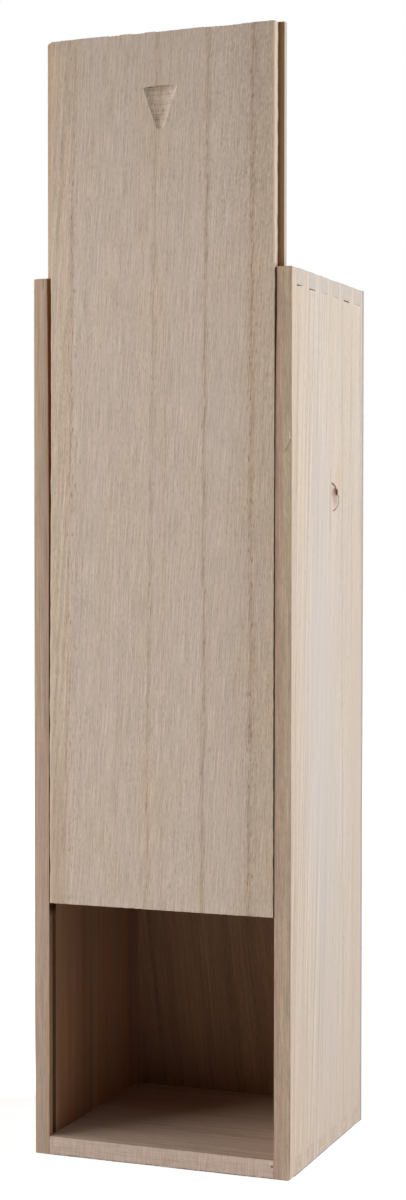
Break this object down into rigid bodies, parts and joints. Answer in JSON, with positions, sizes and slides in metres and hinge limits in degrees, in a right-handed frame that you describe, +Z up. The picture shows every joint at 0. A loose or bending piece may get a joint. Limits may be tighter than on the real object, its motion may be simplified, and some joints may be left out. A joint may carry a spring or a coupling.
{
  "type": "wooden wine box",
  "caption": "Upright wooden bottle box with finger-jointed ends, a thin glued back and a rebated lid that slides up in grooved sides, pulled by its thumb notch.",
  "frame": {"origin": "middle of the underside, on the surface that the box stands on", "axes": "+Z up along the height, +Y towards the back panel, so the open front and the lid's face look along -Y, +X to the right seen from the front"},
  "size_m": [0.108, 0.0954, 0.4427],
  "materials": {
    "side_wood": "matte",
    "end_wood": "matte",
    "back_wood": "matte",
    "lid_wood": "matte"
  },
  "bodies": {
    "box": {"left_side": "side_wood", "right_side": "side_wood", "bottom_end": "end_wood", "top_end": "end_wood", "back_panel": "back_wood"},
    "lid": {"sliding_lid": "lid_wood"}
  },
  "joints": [
    {"name": "lid_slide", "type": "slide", "parent": "box", "child": "lid", "axis": [0, 0, 1], "range_m": [-0.0935, 0.26]}
  ]
}
